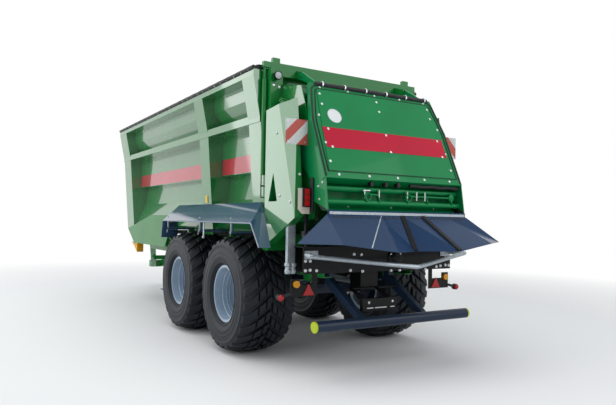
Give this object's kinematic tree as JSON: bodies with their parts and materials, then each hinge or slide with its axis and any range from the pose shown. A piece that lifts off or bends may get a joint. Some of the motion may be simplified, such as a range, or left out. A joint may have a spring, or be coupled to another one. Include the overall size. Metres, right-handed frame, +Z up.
{
  "type": "trailed manure spreader",
  "caption": "Trailed manure spreader with a tandem axle, tall ribbed load box, scraper floor, lying beaters and spreading discs behind a hinged hood.",
  "frame": {"origin": "on the ground under the middle of the part's length and width", "axes": "+X forward to the towing eye, +Y to the left, +Z up"},
  "size_m": [10.01, 2.94, 3.68],
  "materials": {
    "green_paint": "gloss",
    "dark_paint": "satin",
    "red_film": "gloss",
    "galvanised": "dull zinc",
    "rim_paint": "satin silver",
    "tyre_rubber": "matt",
    "black_rubber": "matt",
    "black_paint": "satin",
    "yellow_plastic": "matt",
    "lime_plastic": "matt",
    "lamp_red": "clear gloss",
    "lamp_amber": "clear gloss",
    "white_film": "gloss",
    "worn_steel": "polished by the load"
  },
  "bodies": {
    "trailer": {"chassis": "green_paint", "drawbar": "green_paint", "towing_eye": "galvanised", "axles": "dark_paint", "leaf_springs": "dark_paint", "floor_frame": "green_paint", "floor_plate": "worn_steel", "scraper_chain": "worn_steel", "side_walls": "green_paint", "wall_frames": "green_paint", "top_lips": "black_rubber", "front_wall": "green_paint", "side_bands": "red_film", "side_skirts": "green_paint", "mudguards": "dark_paint", "wheel_chocks": "yellow_plastic", "portal": "green_paint", "gate_barrels": "green_paint", "hydraulic_pipes": "black_paint", "cheeks": "green_paint", "drive_covers": "green_paint", "disc_carrier": "dark_paint", "drive_gearbox": "dark_paint", "guard_tube": "galvanised", "underrun_bar": "dark_paint", "underrun_caps": "lime_plastic", "lamp_plates": "white_film", "rear_lamps": "lamp_red", "reflectors": "lamp_red", "side_lamps": "lamp_amber"},
    "wheel_front_left": {"tyre_front_left": "tyre_rubber", "rim_front_left": "rim_paint"},
    "wheel_front_right": {"tyre_front_right": "tyre_rubber", "rim_front_right": "rim_paint"},
    "wheel_rear_left": {"tyre_rear_left": "tyre_rubber", "rim_rear_left": "rim_paint"},
    "wheel_rear_right": {"tyre_rear_right": "tyre_rubber", "rim_rear_right": "rim_paint"},
    "jack": {"jack_leg": "dark_paint"},
    "gate": {"gate": "green_paint"},
    "hood": {"hood_shell": "green_paint", "hood_panel": "green_paint", "hood_band": "red_film", "apron": "dark_paint", "speed_sign": "white_film", "warning_boards": "white_film"},
    "hood_barrels": {"hood_barrels": "black_paint"},
    "hood_rods": {"hood_rods": "galvanised"},
    "beater_lower": {"beater_lower": "worn_steel"},
    "beater_upper": {"beater_upper": "worn_steel"},
    "disc_left": {"disc_left": "worn_steel"},
    "disc_right": {"disc_right": "worn_steel"},
    "drive_shaft": {"drive_shaft": "galvanised"}
  },
  "joints": [
    {"name": "wheel_front_left_spin", "type": "hinge", "parent": "trailer", "child": "wheel_front_left", "pos_m": [-1.015, 1.095, 0.74], "axis": [0, 1, 0], "continuous": true},
    {"name": "wheel_front_right_spin", "type": "hinge", "parent": "trailer", "child": "wheel_front_right", "pos_m": [-1.015, -1.095, 0.74], "axis": [0, 1, 0], "continuous": true},
    {"name": "wheel_rear_left_spin", "type": "hinge", "parent": "trailer", "child": "wheel_rear_left", "pos_m": [-2.755, 1.095, 0.74], "axis": [0, 1, 0], "continuous": true},
    {"name": "wheel_rear_right_spin", "type": "hinge", "parent": "trailer", "child": "wheel_rear_right", "pos_m": [-2.755, -1.095, 0.74], "axis": [0, 1, 0], "continuous": true},
    {"name": "jack_swing", "type": "hinge", "parent": "trailer", "child": "jack", "pos_m": [3.745, 0, 0.665], "axis": [0, 1, 0], "range_deg": [0, 85]},
    {"name": "gate_lift", "type": "slide", "parent": "trailer", "child": "gate", "axis": [0, 0, 1], "range_m": [0, 1.05]},
    {"name": "hood_open", "type": "hinge", "parent": "trailer", "child": "hood", "pos_m": [-3.575, 0, 3.44], "axis": [0, 1, 0], "range_deg": [0, 75]},
    {"name": "hood_barrel_swing", "type": "hinge", "parent": "trailer", "child": "hood_barrels", "pos_m": [-3.555, 0, 3.12], "axis": [0, 1, 0], "range_deg": [0, 82.19]},
    {"name": "hood_rod_slide", "type": "slide", "parent": "hood_barrels", "child": "hood_rods", "axis": [-0.4771, 0, -0.8789], "range_m": [0, 0.3768]},
    {"name": "beater_lower_spin", "type": "hinge", "parent": "trailer", "child": "beater_lower", "pos_m": [-3.705, 0, 2.03], "axis": [0, 1, 0], "continuous": true},
    {"name": "beater_upper_spin", "type": "hinge", "parent": "trailer", "child": "beater_upper", "pos_m": [-3.705, 0, 2.8], "axis": [0, 1, 0], "continuous": true},
    {"name": "disc_left_spin", "type": "hinge", "parent": "trailer", "child": "disc_left", "pos_m": [-4.135, 0.53, 1.455], "axis": [0, 0, 1], "continuous": true},
    {"name": "disc_right_spin", "type": "hinge", "parent": "trailer", "child": "disc_right", "pos_m": [-4.135, -0.53, 1.455], "axis": [0, 0, 1], "continuous": true},
    {"name": "drive_shaft_spin", "type": "hinge", "parent": "trailer", "child": "drive_shaft", "pos_m": [0, 0, 0.93], "axis": [1, 0, 0], "continuous": true}
  ],
  "couplings": [
    {"joint": "hood_barrel_swing", "follows": "hood_open", "ratio": 1.0892},
    {"joint": "hood_rod_slide", "follows": "hood_open", "m_per_rad": 0.28554},
    {"joint": "beater_upper_spin", "follows": "beater_lower_spin", "ratio": 1},
    {"joint": "disc_left_spin", "follows": "beater_lower_spin", "ratio": 1.5},
    {"joint": "disc_right_spin", "follows": "beater_lower_spin", "ratio": -1.5},
    {"joint": "drive_shaft_spin", "follows": "beater_lower_spin", "ratio": 2}
  ]
}
